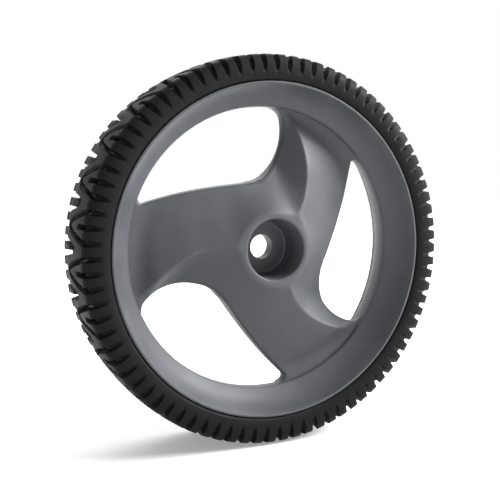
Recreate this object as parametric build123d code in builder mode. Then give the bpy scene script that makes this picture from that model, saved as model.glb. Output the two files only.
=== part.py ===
"""Rear wheel of a walk-behind mower: a one-piece plastic body with three swept spokes, and a lugged tyre.

The wheel turns about Y. Its front, the side with the hub's pocket, looks along -Y, and +Z is up.
The origin is the wheel's centre: on the spin axis, halfway across the tyre.
"""
import os
from math import cos, radians, sin
from build123d import *

# Rim, in millimetres: a trough of even wall whose flanges hold the tyre's beads
rim_radius = 130.0
rim_half_width = 32.0
rim_wall = 3.0
flange_land = 1.8
dish_height = 18.0
waist_front = 10.0
waist_back = -2.4
dish_hollow = 3.0
flare_hollow = 1.7
lip_round = 1.4

# Hub: a collar with a deep front pocket and an axle bore through its floor
hub_front = 29.5
hub_back = 9.6
floor_thickness = 12.4
bore_radius = 9.8
pocket_radius = 23.8
pocket_draft = 1.4
step_width = 1.2
step_height = 5.0
collar_wall = 4.7
hub_draft = 2.5
mouth_round = 1.3

# Windows: each is bounded by the rim and by two arcs, given along and across the spokes beside it
window_corner = (19.0, -48.5)
right_edge_middle = (62.0, -45.3)
right_edge_end = -31.0
left_edge_middle = (67.0, 25.5)
left_edge_end = 60.0
hub_corner_round = 9.0
rim_corner_round = 4.5

# Spokes: sections across each spoke, at these shares of the waist's radius out from the axis.
# Their faces run on past the windows' edges by a margin, and the windows trim them.
spoke_count = 3
spoke_angle = 60.0
spoke_back = -2.0
face_margin = 4.0
side_wall = 4.0
crease_wall = 5.4
flank_wall = 8.0
thin_edge = 0.8
station_shares = (0.11, 0.34, 0.50, 0.68, 0.84, 0.95, 1.05)
face_side = (-52.0, -52.0, -50.0, -46.5, -42.0, -39.0, -36.0)
face_height = (6.0, 7.0, 7.0, 6.5, 5.5, 4.5, 3.5)
crease_side = (-4.0, -4.0, -1.6, 8.3, 24.0, 37.4, 53.0)
crease_height = (28.0, 26.0, 22.5, 20.0, 14.5, 9.0, 3.0)
flank_side = (44.0, 39.0, 28.5, 28.3, 38.0, 54.0, 74.0)

# Tyre: heights are counted from the rim's edge, and drops from the tread's crown
tyre_height = 22.4
sidewall_bulge = 2.0
sidewall_rise = 7.4
sidewall_thickness = 8.5
tread_wall = 9.2
chamber_flat = 13.0
bead_gap = 0.3
bead_width = 11.0
bead_height = 4.0

# Tread: evenly spaced shoulder lugs, and a pointed arch groove over each group of lugs
lug_count = 84
lug_gap = 4.4
lug_anchor = 1.8
lug_length = 9.6
lug_step = 0.6
lug_inset = 0.6
crest_drop = 7.6
shoulder_drop = 1.4
shoulder_inset = 4.6
lugs_per_arch = 3
tread_phase = 0.1
groove_width = 2.6
groove_depth = 3.4
arch_leg = 17.0
arch_reach = 40.0

waist_radius = rim_radius - dish_height
collar_radius = pocket_radius + collar_wall
wheel_radius = rim_radius + tyre_height
tyre_half_width = rim_half_width + sidewall_bulge
lug_face = tyre_half_width - lug_inset
peak_radius = rim_radius + sidewall_rise
shoulder_radius = wheel_radius - shoulder_drop
shoulder_side = tyre_half_width - shoulder_inset
lug_root = tyre_half_width - lug_length
lug_pitch = 360.0 / lug_count
lug_pitch_length = wheel_radius * radians(lug_pitch)
spoke_angles = [spoke_angle + number * 360.0 / spoke_count for number in range(spoke_count)]
stations = [share * waist_radius for share in station_shares]


def turned(shape, angle):
    # A shape drawn at the top of the wheel, moved round to an angle counted from +X towards +Z
    return shape.rotate(Axis.Y, 90.0 - angle)


def beside_spoke(angle, along, across):
    # A place on the wheel's face, along a spoke and then anticlockwise across it
    turn = radians(angle)
    return (along * cos(turn) - across * sin(turn), along * sin(turn) + across * cos(turn))


def spoke_plane(angle, distance):
    # Across a spoke: local x runs anticlockwise round the wheel, local y runs to the front
    turn = radians(angle)
    origin = (distance * cos(turn), 0, distance * sin(turn))
    return Plane(origin=origin, x_dir=(-sin(turn), 0, cos(turn)), z_dir=(cos(turn), 0, sin(turn)))


def bowed(start, end, bow):
    # An arc between two points of a half section, bowed away from the axis
    middle = ((start[0] + end[0]) / 2, (start[1] + end[1]) / 2)
    run = (end[0] - start[0], end[1] - start[1])
    length = (run[0] ** 2 + run[1] ** 2) ** 0.5
    across = (run[1] / length, -run[0] / length)
    side = bow if across[1] > 0 else -bow
    return ThreePointArc(start, (middle[0] + side * across[0], middle[1] + side * across[1]), end)


with BuildSketch(Plane.YZ) as rim_section:
    # Half section of the rim, axial place first and radius second, drawn from the front flange
    with BuildLine():
        dish_edge = (-rim_half_width, rim_radius - flange_land)
        dish_lip = (-waist_front, waist_radius + lip_round)
        flare_edge = (rim_half_width, rim_radius - flange_land)
        floor_radius = waist_radius + lip_round + rim_wall
        Line((-rim_half_width, rim_radius), dish_edge)
        bowed(dish_edge, dish_lip, dish_hollow)
        Polyline(dish_lip, (-waist_front + lip_round, waist_radius), (waist_back, waist_radius))
        bowed((waist_back, waist_radius), flare_edge, flare_hollow)
        Polyline(flare_edge, (rim_half_width, rim_radius), (rim_half_width - rim_wall, rim_radius))
        bowed((rim_half_width - rim_wall, rim_radius), (waist_back, floor_radius), flare_hollow)
        Line((waist_back, floor_radius), (-waist_front + lip_round, floor_radius))
        bowed((-waist_front + lip_round, floor_radius), (-rim_half_width + rim_wall, rim_radius), dish_hollow)
        Line((-rim_half_width + rim_wall, rim_radius), (-rim_half_width, rim_radius))
    make_face()

with BuildPart() as wheel_body:
    # Three swept spokes, each a raised crease with a broad face on one side and a steep flank on the other
    for angle in spoke_angles:
        for index, distance in enumerate(stations):
            with BuildSketch(spoke_plane(angle, distance)):
                with BuildLine():
                    Polyline(
                        (face_side[index], spoke_back),
                        (face_side[index], face_height[index]),
                        (crease_side[index], crease_height[index]),
                        (flank_side[index], spoke_back + thin_edge),
                        (flank_side[index], spoke_back),
                        close=True,
                    )
                make_face()
        loft()
    # Their outer ends stop inside the rim's wall
    with BuildSketch(Plane.XZ):
        Circle(waist_radius + rim_wall / 2)
    extrude(amount=rim_half_width, both=True, mode=Mode.INTERSECT)
    # Windows between the spokes, with rounded corners
    for angle in spoke_angles:
        next_angle = angle + 360.0 / spoke_count
        with BuildSketch(Plane.XZ) as window:
            with BuildLine():
                corner = beside_spoke(next_angle, *window_corner)
                right_end = beside_spoke(next_angle, waist_radius, right_edge_end)
                left_end = beside_spoke(angle, waist_radius, left_edge_end)
                ThreePointArc(corner, beside_spoke(next_angle, *right_edge_middle), right_end)
                ThreePointArc(corner, beside_spoke(angle, *left_edge_middle), left_end)
                far_middle = beside_spoke(angle + 180.0 / spoke_count, 2 * waist_radius, 0)
                ThreePointArc(right_end, far_middle, left_end)
            make_face()
            Circle(waist_radius, mode=Mode.INTERSECT)
            corners = window.vertices().sort_by(lambda point: point.center().length)
            fillet(corners[0], radius=hub_corner_round)
            corners = window.vertices().sort_by(lambda point: point.center().length)
            fillet(corners[-2:], radius=rim_corner_round)
        extrude(amount=rim_half_width, both=True, mode=Mode.SUBTRACT)
    # The spokes' backs are hollow, as in a moulding of even wall
    for angle in spoke_angles:
        for index in range(1, len(stations)):
            below = spoke_back - side_wall
            inner_side = face_side[index] + face_margin + side_wall
            with BuildSketch(spoke_plane(angle, stations[index])):
                with BuildLine():
                    Polyline(
                        (inner_side, below),
                        (inner_side, face_height[index] - side_wall),
                        (crease_side[index], crease_height[index] - crease_wall),
                        (flank_side[index] - flank_wall, below),
                        close=True,
                    )
                make_face()
        loft(mode=Mode.SUBTRACT)
    # Rim
    with BuildSketch(Plane.YZ):
        add(rim_section.sketch_local)
    revolve(axis=Axis.Y)
    # Hub
    with BuildSketch(Plane.YZ):
        with BuildLine():
            Polyline(
                (-hub_front, 0),
                (-hub_front, collar_radius),
                (hub_back, collar_radius + hub_draft),
                (hub_back, 0),
                close=True,
            )
        make_face()
    revolve(axis=Axis.Y)
    # Pocket with its stepped floor, chamfered mouth and the axle bore
    with BuildSketch(Plane.YZ):
        with BuildLine():
            pocket_floor = hub_back - floor_thickness
            floor_edge = pocket_radius - pocket_draft
            Polyline(
                (-hub_front - mouth_round, 0),
                (-hub_front - mouth_round, pocket_radius + mouth_round),
                (-hub_front, pocket_radius + mouth_round),
                (-hub_front + mouth_round, pocket_radius),
                (pocket_floor - step_height, floor_edge),
                (pocket_floor - step_height, floor_edge - step_width),
                (pocket_floor, floor_edge - step_width),
                (pocket_floor, bore_radius),
                (hub_back + mouth_round, bore_radius),
                (hub_back + mouth_round, 0),
                close=True,
            )
        make_face()
    revolve(axis=Axis.Y, mode=Mode.SUBTRACT)

with BuildPart() as lug:
    # One shoulder lug, at the top of the wheel's front edge, rooted in the carcass
    with BuildSketch(Plane.YZ):
        with BuildLine():
            Polyline(
                (-lug_root + lug_anchor, wheel_radius - lug_step),
                (-shoulder_side, shoulder_radius),
                (-lug_face, wheel_radius - crest_drop),
                (-lug_face, peak_radius),
                (-lug_root + lug_anchor, peak_radius),
                close=True,
            )
        make_face()
    extrude(amount=(lug_pitch_length - lug_gap) / 2, both=True)

with BuildPart() as arch_cutter:
    # One pointed arch groove, from the front shoulder to just past the middle of the tread
    with BuildSketch(Plane.XY.offset(wheel_radius - groove_depth)):
        with BuildLine():
            spring = arch_leg - tyre_half_width
            tip = arch_reach - tyre_half_width
            Polyline((-lug_pitch_length, -tyre_half_width), (-lug_pitch_length, spring), (0, tip))
            mirror(about=Plane.YZ)
        trace(line_width=groove_width)
    extrude(amount=2 * groove_depth)

with BuildPart() as tyre:
    # Carcass: its front half section, outside first and then the chamber inside
    with BuildSketch(Plane.YZ):
        with BuildLine():
            seat_radius = rim_radius + bead_gap
            Polyline(
                (0, wheel_radius),
                (-lug_root, wheel_radius),
                (-tyre_half_width, peak_radius),
                (-tyre_half_width + sidewall_bulge / 3, (rim_radius + peak_radius) / 2),
                (-rim_half_width, seat_radius),
                (-rim_half_width + bead_width, seat_radius),
                (-rim_half_width + sidewall_thickness, seat_radius + bead_height),
                (-chamber_flat, wheel_radius - tread_wall),
                (0, wheel_radius - tread_wall),
            )
            mirror(about=Plane.YZ)
        make_face()
    revolve(axis=Axis.Y)
    # Lugs on both shoulders
    lugs = []
    for number in range(lug_count):
        front_lug = turned(lug.part, (number + tread_phase + 0.5) * lug_pitch)
        lugs.append(front_lug)
        lugs.append(front_lug.mirror(Plane.XZ))
    add(lugs)
    # Arches: those of the back set lie halfway between those of the front
    arches = []
    for number in range(0, lug_count, lugs_per_arch):
        middle = number + tread_phase + 1
        front_arch = turned(arch_cutter.part, middle * lug_pitch)
        back_arch = turned(arch_cutter.part, (middle + lugs_per_arch / 2) * lug_pitch).mirror(Plane.XZ)
        arches.append(front_arch)
        arches.append(back_arch)
    add(arches, mode=Mode.SUBTRACT)

os.makedirs("parts", exist_ok=True)
wheel_body.part.label = "wheel_body"
tyre.part.label = "tyre"
export_step(wheel_body.part, "parts/wheel_body.step")
export_step(tyre.part, "parts/tyre.step")
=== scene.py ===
import math
import bpy
import bmesh
import numpy as np
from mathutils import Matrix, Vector


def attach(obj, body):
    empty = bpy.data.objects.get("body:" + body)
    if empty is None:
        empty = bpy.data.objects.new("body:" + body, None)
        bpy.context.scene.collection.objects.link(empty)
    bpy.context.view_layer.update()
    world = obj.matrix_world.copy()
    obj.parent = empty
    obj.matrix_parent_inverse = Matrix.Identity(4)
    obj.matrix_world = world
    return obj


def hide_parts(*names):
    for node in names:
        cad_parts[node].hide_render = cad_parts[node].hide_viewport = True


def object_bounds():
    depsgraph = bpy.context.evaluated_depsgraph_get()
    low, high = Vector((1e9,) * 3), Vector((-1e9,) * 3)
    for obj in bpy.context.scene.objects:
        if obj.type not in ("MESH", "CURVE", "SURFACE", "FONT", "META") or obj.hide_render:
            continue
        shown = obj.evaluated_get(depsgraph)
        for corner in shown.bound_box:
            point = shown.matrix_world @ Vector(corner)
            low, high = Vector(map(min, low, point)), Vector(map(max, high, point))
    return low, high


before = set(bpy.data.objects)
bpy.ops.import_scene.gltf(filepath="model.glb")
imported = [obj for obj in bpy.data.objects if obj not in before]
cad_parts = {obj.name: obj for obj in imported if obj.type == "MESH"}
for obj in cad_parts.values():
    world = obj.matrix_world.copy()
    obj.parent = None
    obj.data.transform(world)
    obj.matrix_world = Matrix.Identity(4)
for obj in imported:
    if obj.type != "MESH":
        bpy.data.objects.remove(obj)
cadBox = [list(corner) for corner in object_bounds()]
scene = bpy.context.scene
toMetres = 0.001  # the sizes below are in millimetres until a mesh is made
thirdTurn = 120.0  # degrees from one spoke to the next


# mesh helpers
def meshObject(name, points, faces):
    mesh = bpy.data.meshes.new(name)
    mesh.from_pydata([tuple(p) for p in points], [], faces)
    made = bpy.data.objects.new(name, mesh)
    scene.collection.objects.link(made)
    return made


def cleaned(made, distance):
    mesh = made.data
    shell = bmesh.new()
    shell.from_mesh(mesh)
    bmesh.ops.remove_doubles(shell, verts=shell.verts, dist=distance)
    bmesh.ops.delete(shell, geom=[v for v in shell.verts if not v.link_faces], context="VERTS")
    bmesh.ops.dissolve_degenerate(shell, dist=distance, edges=shell.edges)
    bmesh.ops.recalc_face_normals(shell, faces=shell.faces)
    openEdges = sum(1 for e in shell.edges if len(e.link_faces) != 2)
    shell.to_mesh(mesh)
    shell.free()
    mesh.polygons.foreach_set("use_smooth", [True] * len(mesh.polygons))
    mesh.update()
    return openEdges


# curve and section helpers
def bunched(count, pull=0.93):
    u = np.linspace(0.0, 1.0, count + 1)
    return u - pull / (2 * math.pi) * np.sin(2 * math.pi * u)  # close together at both ends


def softMax(a, b, width):
    return (a + b + np.sqrt((a - b) ** 2 + width * width)) / 2


def shareOf(ends, value):
    return np.clip((value - ends[0]) / (ends[1] - ends[0]), 0.0, 1.0)


def between(ends, share):
    return ends[0] + (ends[1] - ends[0]) * share


def through(places, values, wanted):
    places = np.array(places)
    values = np.array(values)
    slopes = np.gradient(values, places)
    wanted = np.clip(wanted, places[0], places[-1])
    k = np.clip(np.searchsorted(places, wanted) - 1, 0, len(places) - 2)
    step = places[k + 1] - places[k]
    t = (wanted - places[k]) / step
    return (
        values[k] * (1 + 2 * t) * (1 - t) ** 2
        + slopes[k] * step * t * (1 - t) ** 2
        + values[k + 1] * t * t * (3 - 2 * t)
        + slopes[k + 1] * step * t * t * (t - 1)
    )


def arcBetween(start, end, bow, count):
    start = np.array(start)
    chord = np.array(end) - start
    side = np.array([-chord[1], chord[0]]) / np.hypot(*chord)
    t = np.linspace(0.0, 1.0, count + 1)[:, None]
    return start + chord * t + side * bow * 4 * t * (1 - t)


def shifted(radius, y, offsets):
    return [(radius + outwards, y + back) for outwards, back in offsets]


# wheel body: heights are towards the front, which is -y
bodySet = {
    "spokeAngles": (60.0, 180.0, 300.0),
    "stationAlong": (-60.0, -20.0, 12.0, 38.0, 56.0, 76.0, 94.0, 106.0, 118.0),  # outwards along a spoke
    "creaseHeight": (-40.0, 22.0, 28.0, 26.5, 23.0, 20.0, 14.5, 9.0, 5.0),
    "faceFall": (0.42, 0.40, 0.37, 0.36, 0.31, 0.25, 0.14, 0.06, 0.02),  # slope down to the right edge
    "flankFall": (0.60, 0.60, 0.60, 0.72, 0.88, 1.06, 1.12, 0.70, 0.30),  # slope down to the left edge
    "creaseOff": -4.0,
    "creaseBend": 0.0095,
    "bendStart": 40.0,
    "creaseRound": 1.1,
    "valleyBlend": 6.5,
    "lowestFace": 1.0,
    "rimSeat": 7.0,
    "seatReach": (92.0, 112.0),  # radii over which the spokes come up to the rim
    "rightEdge": ((19.0, -48.5), (62.0, -45.3), (112.0, -31.0)),  # along and across its spoke
    "leftEdge": ((67.0, 25.5), (112.0, 60.0)),  # starts where the next spoke's right edge does
    "windowMiddle": 80.0,
    "windowRound": 2.0,
    "hubCorner": 9.0,
    "rightRimCorner": 9.5,
    "leftRimCorner": 7.0,
    "tipSearch": (30.0, 80.0, 0.1),
    "tipSteps": 1201,
    "tipInset": 0.35,
    "tipSpread": 0.012,
    "hubRadius": 28.0,
    "hubFront": 29.5,
    "hubBack": -9.6,
    "bellStart": 28.0,
    "bellDrop": 0.2,
    "bellSlope": 0.8,
    "bellBlend": 5.0,
    "capDrop": 0.1,
    "capBlend": 0.6,
    "boreRadius": 9.8,
    "boreBackEdge": ((0.7, 0.0), (0.2, -0.15), (0.0, -0.7)),  # from the bore and the boss's end
    "boreEnds": (-3.0, 1.5),  # y from the boss's end and from the floor
    "boreRows": 4,
    "boreFloorEdge": ((0.0, 0.6), (0.15, 0.2), (0.6, 0.0)),  # from the bore and the floor
    "floorHeight": 2.8,
    "floorInset": 2.5,
    "floorRadius": 19.6,
    "floorRows": 5,
    "pocketFoot": (  # radius, and y from the floor
        (20.6, -0.2), (21.3, -0.7), (21.6, -1.5), (21.7, -3.6),
        (21.8, -4.4), (22.0, -4.9), (22.3, -5.2), (22.45, -5.6),
    ),
    "pocketWall": (22.5, 23.75),  # radius at its foot and at the mouth
    "wallFoot": 6.0,
    "wallRows": 9,
    "pocketRadius": 23.8,
    "mouthRound": 1.4,
    "mouthStart": 0.1,
    "mouthRows": 6,
    "hubFace": ((26.2, 0.0), (26.9, 0.0), (27.5, 0.08)),  # radius, and y from the face
    "bossFoot": ((27.6, 0.5), (27.4, 1.2)),  # radius, and y from the spokes' back
    "bossEnd": (  # radius, and y from the boss's end
        (27.2, -1.0), (27.0, -0.3), (26.4, 0.0), (24.0, 0.0), (20.0, 0.0), (16.0, 0.0), (12.5, 0.0),
    ),
    "spokeBack": -2.0,
    "backRound": 0.9,
    "spokeWall": 4.0,
    "sideWall": 4.0,
    "hollowStart": 38.0,
    "hollowInset": 0.6,
    "hollowSlope": 3.0,
    "waistRadius": 112.0,
    "waistBack": 2.4,
    "lipHeight": 10.0,
    "lipEdge": ((0.1, 1.5), (0.35, 0.6), (0.8, 0.0), (1.25, -0.45)),  # from the waist and the lip
    "dishStart": (1.7, -0.75),
    "dishHollow": 3.0,
    "dishSteps": 18,
    "rimRadius": 130.0,
    "rimHalfWidth": 32.0,
    "flangeLand": 1.8,
    "landEdge": ((-0.05, 0.12), (0.3, 0.0)),  # outwards from the land, and in from the rim's side
    "edgeRound": 0.5,
    "edgeMiddle": 0.15,
    "trough": (  # from the rim's radius, and y
        (0.0, -26.0), (-0.5, -24.5), (-4.0, -19.5), (-9.0, -13.5), (-13.0, -8.6), (-14.6, -5.0),
        (-14.6, 0.0), (-14.2, 4.0), (-11.0, 13.5), (-6.0, 22.0), (-0.5, 26.0), (0.0, 27.0),
    ),
    "flareStart": 0.2,
    "flareHollow": 1.7,
    "flareSteps": 20,
    "rightColumns": 26,
    "leftColumns": 22,
    "windowColumns": 26,
    "windowPull": 0.8,
    "columnSteps": 4801,
    "waistInset": 0.02,
    "creaseRounds": 40,
    "hubRows": 18,
    "spokeRows": 46,
    "spokePull": 0.85,
    "joinDistance": 1e-7,  # metres
}


def besideSpoke(angle, along, across):
    turn = math.radians(angle)
    x = along * math.cos(turn) - across * math.sin(turn)
    z = along * math.sin(turn) + across * math.cos(turn)
    return np.array([x, z])


def spokeFrame(angle, x, z):
    turn = math.radians(angle)
    along = x * math.cos(turn) + z * math.sin(turn)
    across = z * math.cos(turn) - x * math.sin(turn)
    return along, across


def circleThrough(a, b, c):
    lines = np.array([b - a, c - a]) * 2
    sides = np.array([b @ b - a @ a, c @ c - a @ a])
    centre = np.linalg.solve(lines, sides)
    return centre, np.hypot(*(a - centre))


def signedTurn(turn):
    return (turn + math.pi) % (2 * math.pi) - math.pi


def windowEdges(angle):
    right = bodySet["rightEdge"]
    corner = besideSpoke(angle + thirdTurn, *right[0])
    middle = besideSpoke(angle + thirdTurn / 2, bodySet["windowMiddle"], 0.0)
    edges = []
    for rest, frameAngle in ((right[1:], angle + thirdTurn), (bodySet["leftEdge"], angle)):
        ends = [corner] + [besideSpoke(frameAngle, *p) for p in rest]
        centre, radius = circleThrough(*ends)
        inside = 1.0 if np.hypot(*(middle - centre)) > radius else -1.0
        turns = [math.atan2(p[1] - centre[1], p[0] - centre[0]) for p in ends]
        spread = sorted(signedTurn(turn - turns[1]) for turn in turns)
        edges.append((centre, radius, inside, turns[1], spread[0], spread[-1]))
    return edges


def edgeDistance(edge, x, z):
    centre, radius, inside, turn, low, high = edge
    x = x - centre[0]
    z = z - centre[1]
    off = signedTurn(np.arctan2(z, x) - turn)
    held = turn + np.clip(off, low, high)  # past its ends the arc goes on as a straight line
    return inside * (x * np.cos(held) + z * np.sin(held) - radius)


def roundedCorner(a, b, radius):
    return radius - np.hypot(np.maximum(radius - a, 0.0), np.maximum(radius - b, 0.0))


def windowInside(angle, x, z):
    right, left = [edgeDistance(edge, x, z) for edge in windowEdges(angle)]
    outer = bodySet["waistRadius"] - np.hypot(x, z)
    return np.minimum.reduce([
        roundedCorner(right, left, bodySet["hubCorner"]),
        roundedCorner(right, outer, bodySet["rightRimCorner"]),
        roundedCorner(left, outer, bodySet["leftRimCorner"]),
    ])


def windowGap(x, z):
    return np.minimum.reduce([-windowInside(angle, x, z) for angle in bodySet["spokeAngles"]])


def edgeRounding(gap, radius):
    short = np.clip(radius - gap, 0.0, radius)
    return radius - np.sqrt(radius * radius - short * short)


def creaseAcross(along):
    return bodySet["creaseOff"] + bodySet["creaseBend"] * np.maximum(along - bodySet["bendStart"], 0.0) ** 2


def spokeHeight(angle, x, z):
    along, across = spokeFrame(angle, x, z)
    off = across - creaseAcross(along)
    toLeft = softMax(off, 0.0, bodySet["creaseRound"])
    toRight = toLeft - off
    height = through(bodySet["stationAlong"], bodySet["creaseHeight"], along)
    faceFall = through(bodySet["stationAlong"], bodySet["faceFall"], along)
    flankFall = through(bodySet["stationAlong"], bodySet["flankFall"], along)
    return height - faceFall * toRight - flankFall * toLeft


def spokesTogether(x, z):
    a, b, c = [spokeHeight(angle, x, z) for angle in bodySet["spokeAngles"]]
    height = softMax(softMax(a, b, bodySet["valleyBlend"]), c, bodySet["valleyBlend"])
    height = np.maximum(height, bodySet["lowestFace"])
    share = shareOf(bodySet["seatReach"], np.hypot(x, z))
    share = share * share * (3 - 2 * share)
    return height * (1 - share) + bodySet["rimSeat"] * share  # comes up to the rim just behind its lip


def frontHeight(x, z):
    out = np.maximum(np.hypot(x, z) - bodySet["bellStart"], 0.0)
    bell = bodySet["hubFront"] - bodySet["bellDrop"] - bodySet["bellSlope"] * out
    height = softMax(spokesTogether(x, z), bell, bodySet["bellBlend"])
    cap = bodySet["hubFront"] - bodySet["capDrop"]
    height = -softMax(-height, -cap, bodySet["capBlend"])  # no higher than the hub's face
    return height - edgeRounding(windowGap(x, z), bodySet["windowRound"])


def backHeight(x, z):
    gap = windowGap(x, z)
    along = np.maximum.reduce([spokeFrame(angle, x, z)[0] for angle in bodySet["spokeAngles"]])
    inside = bodySet["waistRadius"] - bodySet["hollowInset"] - np.hypot(x, z)
    room = np.minimum.reduce([gap - bodySet["sideWall"], inside, along - bodySet["hollowStart"]])
    deepest = spokesTogether(x, z) - bodySet["spokeWall"] - bodySet["spokeBack"]
    hollow = np.minimum(deepest, bodySet["hollowSlope"] * np.maximum(room, 0.0))
    return bodySet["spokeBack"] + np.maximum(hollow, 0.0) + edgeRounding(gap, bodySet["backRound"])


# the columns of the grid follow the windows' edges and the creases
def windowSweep(radius, steps):
    sweep = np.radians(np.linspace(0.0, thirdTurn, steps))
    return sweep, windowInside(0.0, radius * np.cos(sweep), radius * np.sin(sweep))


def findTip():
    for radius in np.arange(*bodySet["tipSearch"]):
        if windowSweep(radius, bodySet["tipSteps"])[1].max() > 0:
            return float(radius) + bodySet["tipInset"]


def columnAngles(radius):
    justInside = bodySet["waistRadius"] - bodySet["waistInset"]
    near = min(radius, bodySet["waistRadius"])
    sweep, inside = windowSweep(min(max(near, tipRadius), justInside), bodySet["columnSteps"])
    openPlaces = np.nonzero(inside > 0)[0]
    wider = bodySet["tipSpread"] * max(tipRadius - near, 0.0)
    first = sweep[openPlaces[0]] - wider
    last = sweep[openPlaces[-1]] + wider
    crease = 0.0
    for _ in range(bodySet["creaseRounds"]):  # settles where the crease crosses this radius
        crease = math.asin(creaseAcross(near * math.cos(crease)) / near)
    right = last - math.radians(thirdTurn)
    third = np.concatenate([
        right + (crease - right) * bunched(bodySet["rightColumns"])[:-1],
        crease + (first - crease) * bunched(bodySet["leftColumns"])[:-1],
        first + (last - first) * bunched(bodySet["windowColumns"], bodySet["windowPull"])[:-1],
    ])
    return np.concatenate([third + math.radians(angle) for angle in bodySet["spokeAngles"]])


def ring(radius, y, angles):
    y = np.broadcast_to(y, angles.shape)
    return np.stack([radius * np.cos(angles), y, radius * np.sin(angles)], axis=1)


tipRadius = findTip()
print("window tip radius", round(tipRadius, 2))
spokeColumns = bodySet["rightColumns"] + bodySet["leftColumns"]
thirdColumns = spokeColumns + bodySet["windowColumns"]
columnCount = 3 * thirdColumns
inThird = np.arange(columnCount) % thirdColumns
isWindow = inThird >= spokeColumns  # the cell from this column to the next
isInnerWindow = inThird > spokeColumns  # a column strictly inside a window

waist = bodySet["waistRadius"]
hubRadii = between((bodySet["hubRadius"], tipRadius), np.linspace(0.0, 1.0, bodySet["hubRows"] + 1))
spokeRadii = between((tipRadius, waist), bunched(bodySet["spokeRows"], bodySet["spokePull"]))
sheetRadii = np.concatenate([hubRadii[:-1], spokeRadii])
tipRow = len(hubRadii) - 1
rimRow = len(sheetRadii) - 1
sheetAngles = [columnAngles(radius) for radius in sheetRadii]
hubAngles = sheetAngles[0]
rimAngles = sheetAngles[-1]

frontRows = []
backRows = []
for radius, angles in zip(sheetRadii, sheetAngles):
    x = radius * np.cos(angles)
    z = radius * np.sin(angles)
    frontRows.append(ring(radius, -frontHeight(x, z), angles))
    backRows.append(ring(radius, -backHeight(x, z), angles))
for sheet in (frontRows, backRows):
    sheet[-1][isInnerWindow, 1] = -bodySet["waistBack"]

# section of the hub, from the bore's back edge to the front face
bore = bodySet["boreRadius"]
bossY = -bodySet["hubBack"]
floorY = -bodySet["floorHeight"]
faceY = -bodySet["hubFront"]
mouth = bodySet["mouthRound"]
boreRange = (bossY + bodySet["boreEnds"][0], floorY + bodySet["boreEnds"][1])
wallRange = (floorY - bodySet["wallFoot"], faceY + mouth)
hubSection = shifted(bore, bossY, bodySet["boreBackEdge"])
hubSection += [(bore, y) for y in np.linspace(*boreRange, bodySet["boreRows"])]
hubSection += shifted(bore, floorY, bodySet["boreFloorEdge"])
floorRange = (bore + bodySet["floorInset"], bodySet["floorRadius"])
hubSection += [(r, floorY) for r in np.linspace(*floorRange, bodySet["floorRows"])]
hubSection += shifted(0.0, floorY, bodySet["pocketFoot"])
for share in np.linspace(0.0, 1.0, bodySet["wallRows"]):
    hubSection.append((between(bodySet["pocketWall"], share), between(wallRange, share)))
for turn in np.linspace(bodySet["mouthStart"], math.pi / 2, bodySet["mouthRows"]):
    radius = bodySet["pocketRadius"] + mouth * (1 - math.cos(turn))
    hubSection.append((radius, faceY + mouth * (1 - math.sin(turn))))
hubSection += shifted(0.0, faceY, bodySet["hubFace"])
bossSection = shifted(0.0, -bodySet["spokeBack"], bodySet["bossFoot"])
bossSection += shifted(0.0, bossY, bodySet["bossEnd"])

# section of the rim, from the lip round the trough to the waist's back edge
half = bodySet["rimHalfWidth"]
outer = bodySet["rimRadius"]
land = outer - bodySet["flangeLand"]


def flangeEdge(side):
    edge = [(land + outwards, side * (half - inwards)) for outwards, inwards in bodySet["landEdge"]]
    edge.append((outer - bodySet["edgeRound"], side * half))
    edge.append((outer - bodySet["edgeMiddle"], side * (half - bodySet["edgeMiddle"])))
    edge.append((outer, side * (half - bodySet["edgeRound"])))
    return edge


dishStart = shifted(waist, -bodySet["lipHeight"], [bodySet["dishStart"]])[0]
dish = arcBetween(dishStart, (land, -half), bodySet["dishHollow"], bodySet["dishSteps"])
flareY = half - bodySet["flareStart"]
flareEnd = (waist, -bodySet["waistBack"])
flare = arcBetween((land, flareY), flareEnd, bodySet["flareHollow"], bodySet["flareSteps"])
rimSection = shifted(waist, -bodySet["lipHeight"], bodySet["lipEdge"])
rimSection += [tuple(p) for p in dish[:-1]]
rimSection += flangeEdge(-1.0)
rimSection += shifted(outer, 0.0, bodySet["trough"])
rimSection += reversed(flangeEdge(1.0))

# all rows in order: hub, front sheet, rim, back sheet, boss
rows = [ring(radius, y, hubAngles) for radius, y in hubSection]
rows += frontRows
rows += [ring(radius, y, rimAngles) for radius, y in rimSection]
sheetEnd = backRows[-1][:, 1]
for share in np.linspace(0.0, 1.0, len(flare)):
    place = between((flareY, sheetEnd), share)
    rows.append(ring(np.interp(-place, -flare[:, 1], flare[:, 0]), place, rimAngles))
rows += reversed(backRows)
rows += [ring(radius, y, hubAngles) for radius, y in bossSection]
frontStart = len(hubSection)
backStart = len(rows) - len(bossSection) - len(backRows)


def vertexAt(row, column):
    return row % len(rows) * columnCount + column % columnCount


def frontVertex(k, column):
    return vertexAt(frontStart + k, column)


def backVertex(k, column):
    return vertexAt(backStart + rimRow - k, column)


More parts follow.
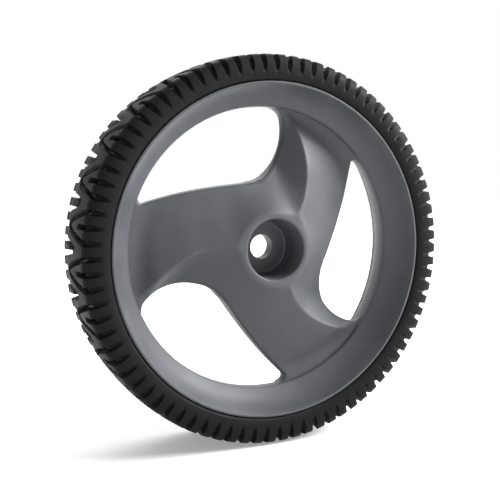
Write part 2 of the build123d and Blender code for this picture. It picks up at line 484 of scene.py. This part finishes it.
faces = []
for row in range(len(rows)):
    openFront = tipRow <= row - frontStart < rimRow
    openBack = 0 <= row - backStart < rimRow - tipRow
    for column in range(columnCount):
        if isWindow[column] and (openFront or openBack):
            continue
        edge = (vertexAt(row, column), vertexAt(row, column + 1))
        faces.append(edge + (vertexAt(row + 1, column + 1), vertexAt(row + 1, column)))
for column in range(columnCount):
    if isWindow[column]:  # inner end of a window
        edge = (frontVertex(tipRow, column), backVertex(tipRow, column))
        faces.append(edge + (backVertex(tipRow, column + 1), frontVertex(tipRow, column + 1)))
    if inThird[column] in (0, spokeColumns):  # both long edges of a window
        for k in range(tipRow, rimRow):
            edge = (frontVertex(k, column), frontVertex(k + 1, column))
            faces.append(edge + (backVertex(k + 1, column), backVertex(k, column)))
        beside = column - 1 if inThird[column] == 0 else column + 1
        faces.append((frontVertex(rimRow, column), backVertex(rimRow, column), frontVertex(rimRow, beside)))
wheelBody = meshObject("wheelBody", np.concatenate(rows) * toMetres, faces)
openEdges = cleaned(wheelBody, bodySet["joinDistance"])
print("wheel body open edges", openEdges, "faces", len(wheelBody.data.polygons))


# tyre: one tread segment of three lugs, repeated round the axle
tyreSet = {
    "segments": 28,
    "lugsPerSegment": 3,
    "lugCount": 84,
    "phase": 0.1,
    "wheelRadius": 152.4,
    "crownDrop": 1.6,
    "shoulderSide": 28.6,
    "crownColumns": 49,
    "lugSteps": (-0.5, -0.38, -0.27, -0.225, -0.19, -0.15, -0.08, 0.0, 0.08, 0.15, 0.19, 0.225, 0.27, 0.38),
    "side": (  # y and radius, from the front bead to the shoulder
        (-29.6, 130.02), (-31.3, 130.8), (-32.4, 131.7), (-32.7, 132.6), (-33.1, 134.0),
        (-33.5, 136.0), (-33.65, 138.0), (-33.6, 140.4), (-33.45, 142.8), (-33.05, 144.6),
        (-32.3, 147.0), (-30.9, 149.3), (-28.6, 150.8),
    ),
    "inside": (
        (21.0, 130.02), (23.5, 134.3), (13.0, 143.2), (0.0, 143.2),
        (-13.0, 143.2), (-23.5, 134.3), (-21.0, 130.02),
    ),
    "backFull": (1.0, 0.6),  # the back shoulder is this much wider and higher
    "backFullFrom": 145.0,
    "lugPeak": (33.9, 136.4),  # y and radius where the gaps' slope starts
    "lugRoots": (24.4, 16.0),  # where it meets the crown, front and back
    "gapTop": (0.12, 0.225),  # half a gap's width in lugs, at its ends and at the shoulder
    "gapFloor": (0.05, 0.15),
    "gapReach": (23.0, 30.0),
    "gapSide": (136.5, 147.0),
    "archLeg": 30.0,
    "archTip": 8.5,
    "archBend": 0.62,
    "archSpread": (1.0, 0.5),  # half an arch's width in lugs, front and back
    "archPoints": 121,
    "slotTip": 16.5,  # inner end of the slot in the middle of a front arch
    "slotPoints": 41,
    "groove": (0.95, 1.25, 5.8),  # half width, wall and depth
    "grooveFade": (32.5, 30.5),  # a groove runs out between these, past the shoulder
    "sharpAngle": 38.0,
    "seamDistance": 2e-6,  # metres
    "joinDistance": 1e-6,
}


def archGroove(around, y, spread, slotTip=None):
    pitch = 2 * math.pi * tyreSet["wheelRadius"] / tyreSet["lugCount"]
    share = np.linspace(0.0, 1.0, tyreSet["archPoints"])
    archY = between((-tyreSet["archLeg"], tyreSet["archTip"]), share)
    archOff = spread * pitch * (1 - share) ** tyreSet["archBend"]
    if slotTip is not None:
        archY = np.concatenate([archY, np.linspace(-tyreSet["archLeg"], -slotTip, tyreSet["slotPoints"])])
        archOff = np.concatenate([archOff, np.zeros(tyreSet["slotPoints"])])
    off, y = np.broadcast_arrays(np.abs(around) * pitch, y)
    away = np.hypot(off[..., None] - archOff, y[..., None] - archY).min(axis=-1)
    halfWidth, wall, depth = tyreSet["groove"]
    return depth * np.clip((halfWidth + wall - away) / wall, 0.0, 1.0)


def tyreSection():
    shoulder = tyreSet["shoulderSide"]
    wider, higher = tyreSet["backFull"]
    section = list(tyreSet["side"])
    for y in np.linspace(-shoulder, shoulder, tyreSet["crownColumns"] + 1)[1:-1]:
        section.append((y, tyreSet["wheelRadius"] - tyreSet["crownDrop"] * (y / shoulder) ** 2))
    for y, r in reversed(tyreSet["side"]):
        section.append((wider - y, r + higher) if r > tyreSet["backFullFrom"] else (-y, r))
    onOutside = np.arange(len(section) + len(tyreSet["inside"])) < len(section)
    return np.array(section + list(tyreSet["inside"])), onOutside


def segmentMesh():
    lugs = tyreSet["lugsPerSegment"]
    wheelRadius = tyreSet["wheelRadius"]
    lugSteps = np.array(tyreSet["lugSteps"])
    steps = np.concatenate([lugSteps + lug for lug in range(lugs)] + [[lugs + lugSteps[0]]])
    section, onOutside = tyreSection()
    y = section[:, 0][None, :]
    r = section[:, 1][None, :]
    around = steps[:, None]
    fromStart = around - lugSteps[0]

    # lug gaps, cut down to a slope from the sidewall to the crown
    side = np.where(y < 0, -1.0, 1.0)
    peakSide, peakRadius = tyreSet["lugPeak"]
    inward = peakSide - np.where(y < 0, *tyreSet["lugRoots"])
    climb = wheelRadius - peakRadius
    outSide = climb / np.hypot(climb, inward)
    outRadius = inward / np.hypot(climb, inward)
    rise = np.maximum((np.abs(y) - peakSide) * outSide + (r - peakRadius) * outRadius, 0.0) * onOutside
    fromGap = np.abs(fromStart % 1.0 + lugSteps[0])
    reachShare = np.where(y < 0, shareOf(tyreSet["gapReach"], np.abs(y)), 1.0)  # full width behind
    gapShare = np.minimum(reachShare, shareOf(tyreSet["gapSide"], r))
    gapTop = between(tyreSet["gapTop"], gapShare)
    gapFloor = between(tyreSet["gapFloor"], gapShare)
    gapOpen = np.clip((gapTop - fromGap) / (gapTop - gapFloor), 0.0, 1.0)
    newY = y - side * outSide * rise * gapOpen
    newR = r - outRadius * rise * gapOpen

    # arch grooves, from the front and half a segment on from the back
    frontSpread, backSpread = tyreSet["archSpread"]
    frontArch = archGroove(fromStart % lugs - lugs / 2, newY, frontSpread, tyreSet["slotTip"])
    backArch = archGroove((fromStart + lugs / 2) % lugs - lugs / 2, -newY, backSpread)
    inCrown = shareOf(tyreSet["grooveFade"], np.abs(newY)) * onOutside
    grooveFloor = np.minimum(newR, wheelRadius - tyreSet["groove"][2])  # no deeper than the gaps beside it
    newR = np.maximum(newR - np.maximum(frontArch, backArch) * inCrown, grooveFloor)

    turn = np.radians((around + tyreSet["phase"]) * 360.0 / tyreSet["lugCount"])
    newY = np.broadcast_to(newY, newR.shape)
    places = np.stack([newR * np.cos(turn), newY, newR * np.sin(turn)], axis=2).reshape(-1, 3) * toMetres
    width = len(section)
    quads = []
    for i in range(len(steps) - 1):
        for j in range(width):
            n = (j + 1) % width
            quads.append((i * width + j, (i + 1) * width + j, (i + 1) * width + n, i * width + n))
    return places, quads


def repeatTree(name):
    tree = bpy.data.node_groups.new(name, "GeometryNodeTree")
    for socket, kind in (
        ("Geometry", "NodeSocketGeometry"),
        ("Copies", "NodeSocketInt"),
        ("Step", "NodeSocketFloat"),
        ("Join Distance", "NodeSocketFloat"),
        ("Material", "NodeSocketMaterial"),
    ):
        tree.interface.new_socket(socket, in_out="INPUT", socket_type=kind)
    tree.interface.new_socket("Geometry", in_out="OUTPUT", socket_type="NodeSocketGeometry")
    made = {}
    for key, kind in (
        ("start", "NodeGroupInput"),
        ("points", "GeometryNodePoints"),
        ("index", "GeometryNodeInputIndex"),
        ("turn", "ShaderNodeMath"),
        ("axis", "ShaderNodeCombineXYZ"),
        ("place", "GeometryNodeInstanceOnPoints"),
        ("real", "GeometryNodeRealizeInstances"),
        ("join", "GeometryNodeMergeByDistance"),
        ("paint", "GeometryNodeSetMaterial"),
        ("end", "NodeGroupOutput"),
    ):
        made[key] = tree.nodes.new(kind)
    made["turn"].operation = "MULTIPLY"
    for source, output, target, entry in (
        ("start", "Copies", "points", "Count"),
        ("index", 0, "turn", 0),
        ("start", "Step", "turn", 1),
        ("turn", 0, "axis", "Y"),
        ("points", 0, "place", "Points"),
        ("start", "Geometry", "place", "Instance"),
        ("axis", 0, "place", "Rotation"),
        ("place", 0, "real", 0),
        ("real", 0, "join", "Geometry"),
        ("start", "Join Distance", "join", "Distance"),
        ("join", 0, "paint", "Geometry"),
        ("start", "Material", "paint", "Material"),
        ("paint", 0, "end", 0),
    ):
        tree.links.new(made[source].outputs[output], made[target].inputs[entry])
    return tree


def repeated(source, name, copies, seam, material):
    tree = repeatTree(name)
    modifier = source.modifiers.new(name, "NODES")
    modifier.node_group = tree
    values = {"Copies": copies, "Step": 2 * math.pi / copies, "Join Distance": seam, "Material": material}
    for item in tree.interface.items_tree:
        if item.in_out == "INPUT" and item.name in values:
            modifier[item.identifier] = values[item.name]
    bpy.context.view_layer.update()
    mesh = bpy.data.meshes.new_from_object(source.evaluated_get(bpy.context.evaluated_depsgraph_get()))
    made = bpy.data.objects.new(name, mesh)
    scene.collection.objects.link(made)
    source.modifiers.remove(modifier)
    bpy.data.objects.remove(source)
    return made


# materials, from noise on Object coordinates
noiseSpan = (0.3, 0.7)  # the part of a noise's range that is used


def shaderTree(name):
    material = bpy.data.materials.new(name)
    material.use_nodes = True
    nodes = material.node_tree.nodes
    return material, nodes, material.node_tree.links, nodes["Principled BSDF"]


def setInputs(node, **values):
    for name, value in values.items():
        node.inputs[name].default_value = value


def noiseNode(nodes, links, coords, scale, detail, roughness):
    noise = nodes.new("ShaderNodeTexNoise")
    setInputs(noise, Scale=scale, Detail=detail, Roughness=roughness)
    links.new(coords, noise.inputs["Vector"])
    return noise.outputs["Fac"]


def rampNode(nodes, links, source, colors):
    ramp = nodes.new("ShaderNodeValToRGB")
    for element, position, color in zip(ramp.color_ramp.elements, noiseSpan, colors):
        element.position = position
        element.color = (*color, 1.0)
    links.new(source, ramp.inputs["Fac"])
    return ramp.outputs["Color"]


def rangeNode(nodes, links, source, span, ends):
    change = nodes.new("ShaderNodeMapRange")
    for name, value in zip(("From Min", "From Max", "To Min", "To Max"), (*span, *ends)):
        change.inputs[name].default_value = value
    links.new(source, change.inputs["Value"])
    return change.outputs["Result"]


def bumpNode(nodes, links, height, strength, distance, before):
    bump = nodes.new("ShaderNodeBump")
    setInputs(bump, Strength=strength, Distance=distance)
    links.new(height, bump.inputs["Height"])
    if before is not None:
        links.new(before, bump.inputs["Normal"])
    return bump.outputs["Normal"]


def mouldedFinish(name, look):
    material, nodes, links, shader = shaderTree(name)
    coords = nodes.new("ShaderNodeTexCoord").outputs["Object"]
    cloud = noiseNode(nodes, links, coords, *look["cloud"])
    links.new(rampNode(nodes, links, cloud, (look["dark"], look["light"])), shader.inputs["Base Color"])
    links.new(rangeNode(nodes, links, cloud, noiseSpan, look["roughness"]), shader.inputs["Roughness"])
    normal = None
    for noise, strength, distance in look["bumps"]:
        height = noiseNode(nodes, links, coords, *noise)
        normal = bumpNode(nodes, links, height, strength, distance, normal)
    links.new(normal, shader.inputs["Normal"])
    shader.inputs["Specular IOR Level"].default_value = look["specular"]
    return material


plasticSet = {
    "dark": (0.067, 0.0715, 0.0795),
    "light": (0.085, 0.0905, 0.100),
    "cloud": (38.0, 4.0, 0.55),  # scale, detail and roughness of a noise
    "roughness": (0.44, 0.55),
    "bumps": (  # noise, strength and distance
        ((1900.0, 3.0, 0.6), 0.2, 0.0002),
        ((750.0, 2.0, 0.5), 0.12, 0.0003),
    ),
    "specular": 0.42,
}
rubberSet = {
    "dark": (0.0042, 0.0042, 0.0044),
    "light": (0.0092, 0.0092, 0.0095),
    "cloud": (60.0, 5.0, 0.6),
    "roughness": (0.50, 0.68),
    "bumps": (((1500.0, 3.0, 0.6), 0.2, 0.0002),),
    "specular": 0.12,
}
plastic = mouldedFinish("greyPlastic", plasticSet)
rubber = mouldedFinish("blackRubber", rubberSet)
print("materials made")

wheelBody.data.materials.append(plastic)
segment = meshObject("treadSegment", *segmentMesh())
tyre = repeated(segment, "tyre", tyreSet["segments"], tyreSet["seamDistance"], rubber)
openEdges = cleaned(tyre, tyreSet["joinDistance"])
print("tyre open edges", openEdges, "faces", len(tyre.data.polygons))
tyre.data.set_sharp_from_angle(angle=math.radians(tyreSet["sharpAngle"]))

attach(wheelBody, "root")
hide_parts("wheel_body")
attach(tyre, "root")
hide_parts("tyre")
print("pieces placed")


# floor, studio light and camera
stageSet = {
    "floorReach": 4.0,
    "floorColor": (0.82, 0.82, 0.82),
    "floorRoughness": 0.9,
    "lift": (0.30, 0.85),  # glow of the floor near the wheel and further off
    "liftReach": (0.12, 0.9),
    "worldBase": 0.006,
    "worldSides": (0.40, 0.42, 0.48),
    "keyPlace": (1.4, -0.6, 0.9),
    "keySize": 0.8,
    "keyPower": 61.0,
    "backPlace": (0.3, 1.0, 1.5),
    "backSize": 1.4,
    "backPower": 26.0,
    "cameraPlace": (-0.2649, -0.5687, 0.0603),
    "cameraAim": (0.4099, 0.9113, -0.0389),
    "sensor": 36.0,
    "lens": 55.95,
    "shift": -0.096,
}


def mathNode(nodes, links, operation, *entries):
    made = nodes.new("ShaderNodeMath")
    made.operation = operation
    for socket, entry in zip(made.inputs, entries):
        if isinstance(entry, float):
            socket.default_value = entry
        else:
            links.new(entry, socket)
    return made.outputs[0]


def seenDirectly(nodes, links):
    rays = nodes.new("ShaderNodeLightPath").outputs
    seen = mathNode(nodes, links, "MAXIMUM", rays["Is Camera Ray"], rays["Is Glossy Ray"])
    return mathNode(nodes, links, "MAXIMUM", seen, rays["Is Transmission Ray"])


def paleFloor(height):
    material, nodes, links, shader = shaderTree("paleFloor")
    shader.inputs["Base Color"].default_value = (*stageSet["floorColor"], 1.0)
    shader.inputs["Roughness"].default_value = stageSet["floorRoughness"]
    shader.inputs["Specular IOR Level"].default_value = 0.0
    away = nodes.new("ShaderNodeVectorMath")
    away.operation = "DISTANCE"
    away.inputs[1].default_value = (0.0, 0.0, height)
    links.new(nodes.new("ShaderNodeTexCoord").outputs["Object"], away.inputs[0])
    lifted = rangeNode(nodes, links, away.outputs["Value"], stageSet["liftReach"], stageSet["lift"])
    glow = nodes.new("ShaderNodeEmission")
    links.new(mathNode(nodes, links, "MULTIPLY", seenDirectly(nodes, links), lifted), glow.inputs["Strength"])
    both = nodes.new("ShaderNodeAddShader")
    links.new(shader.outputs[0], both.inputs[0])
    links.new(glow.outputs[0], both.inputs[1])
    links.new(both.outputs[0], nodes["Material Output"].inputs["Surface"])
    return material


def studioWorld():
    world = bpy.data.worlds.new("studio")
    world.use_nodes = True
    nodes = world.node_tree.nodes
    links = world.node_tree.links
    split = nodes.new("ShaderNodeSeparateXYZ")
    links.new(nodes.new("ShaderNodeTexCoord").outputs["Generated"], split.inputs[0])
    strength = stageSet["worldBase"]
    for axis, share in zip("XYZ", stageSet["worldSides"]):  # brighter to the right, behind and above
        facing = mathNode(nodes, links, "MAXIMUM", split.outputs[axis], 0.0)
        strength = mathNode(nodes, links, "MULTIPLY_ADD", facing, share, strength)
    sides = nodes["Background"]
    sides.inputs["Color"].default_value = (1.0, 1.0, 1.0, 1.0)
    links.new(strength, sides.inputs["Strength"])
    white = nodes.new("ShaderNodeBackground")
    white.inputs["Color"].default_value = (1.0, 1.0, 1.0, 1.0)
    white.inputs["Strength"].default_value = 1.0
    pick = nodes.new("ShaderNodeMixShader")
    links.new(seenDirectly(nodes, links), pick.inputs[0])
    links.new(sides.outputs[0], pick.inputs[1])
    links.new(white.outputs[0], pick.inputs[2])
    links.new(pick.outputs[0], nodes["World Output"].inputs["Surface"])
    return world


def areaLight(name, place, size, power):
    data = bpy.data.lights.new(name, "AREA")
    data.size = size
    data.energy = power
    lamp = bpy.data.objects.new(name, data)
    lamp.location = place
    lamp.rotation_euler = (-Vector(place)).to_track_quat("-Z", "Y").to_euler()  # looks at the wheel's middle
    scene.collection.objects.link(lamp)


floorHeight = cadBox[0][2]
reach = stageSet["floorReach"]
floorSquare = ((-reach, -reach), (reach, -reach), (reach, reach), (-reach, reach))
floorCorners = [(x, y, floorHeight) for x, y in floorSquare]
floor = meshObject("floor", floorCorners, [(0, 1, 2, 3)])
floor.data.materials.append(paleFloor(floorHeight))
scene.world = studioWorld()
areaLight("key", stageSet["keyPlace"], stageSet["keySize"], stageSet["keyPower"])
areaLight("back", stageSet["backPlace"], stageSet["backSize"], stageSet["backPower"])

cameraData = bpy.data.cameras.new("camera")
cameraData.sensor_width = stageSet["sensor"]
cameraData.lens = stageSet["lens"]
cameraData.shift_y = stageSet["shift"]
camera = bpy.data.objects.new("camera", cameraData)
camera.location = stageSet["cameraPlace"]
camera.rotation_euler = Vector(stageSet["cameraAim"]).to_track_quat("-Z", "Y").to_euler()
scene.collection.objects.link(camera)
scene.camera = camera
scene.view_settings.view_transform = "Standard"
print("stage set")
